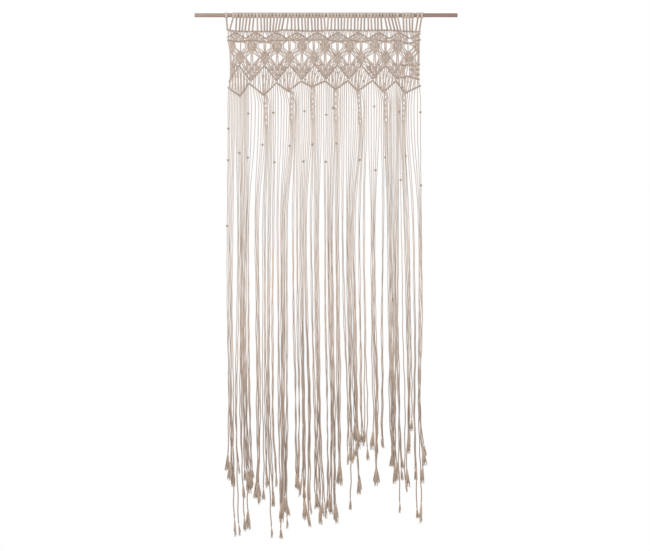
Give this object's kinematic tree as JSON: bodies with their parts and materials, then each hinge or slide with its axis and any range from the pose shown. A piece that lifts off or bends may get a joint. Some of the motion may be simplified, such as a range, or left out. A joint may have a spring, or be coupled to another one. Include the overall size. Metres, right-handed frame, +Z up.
{
  "type": "macrame curtain and rod",
  "caption": "Macrame curtain of natural cotton cord looped over a round wooden rod: a knotted openwork band with long uneven strings and frayed ends.",
  "frame": {"origin": "centre of the round rod, on its axis, midway between its ends", "axes": "+X along the rod to the viewer's right, +Z up, the front of the curtain towards -Y"},
  "size_m": [1, 0.0243, 2.0058],
  "materials": {
    "wood": "oiled beech dowel",
    "cotton_cord": "undyed three-ply twisted cotton cord"
  },
  "bodies": {
    "root": {"rod": "wood", "heading_loops": "cotton_cord", "knotted_band": "cotton_cord", "string_fringe": "cotton_cord", "chain_1": "cotton_cord", "chain_2": "cotton_cord", "chain_3": "cotton_cord", "chain_4": "cotton_cord", "chain_5": "cotton_cord", "chain_6": "cotton_cord", "chain_7": "cotton_cord"}
  },
  "joints": []
}
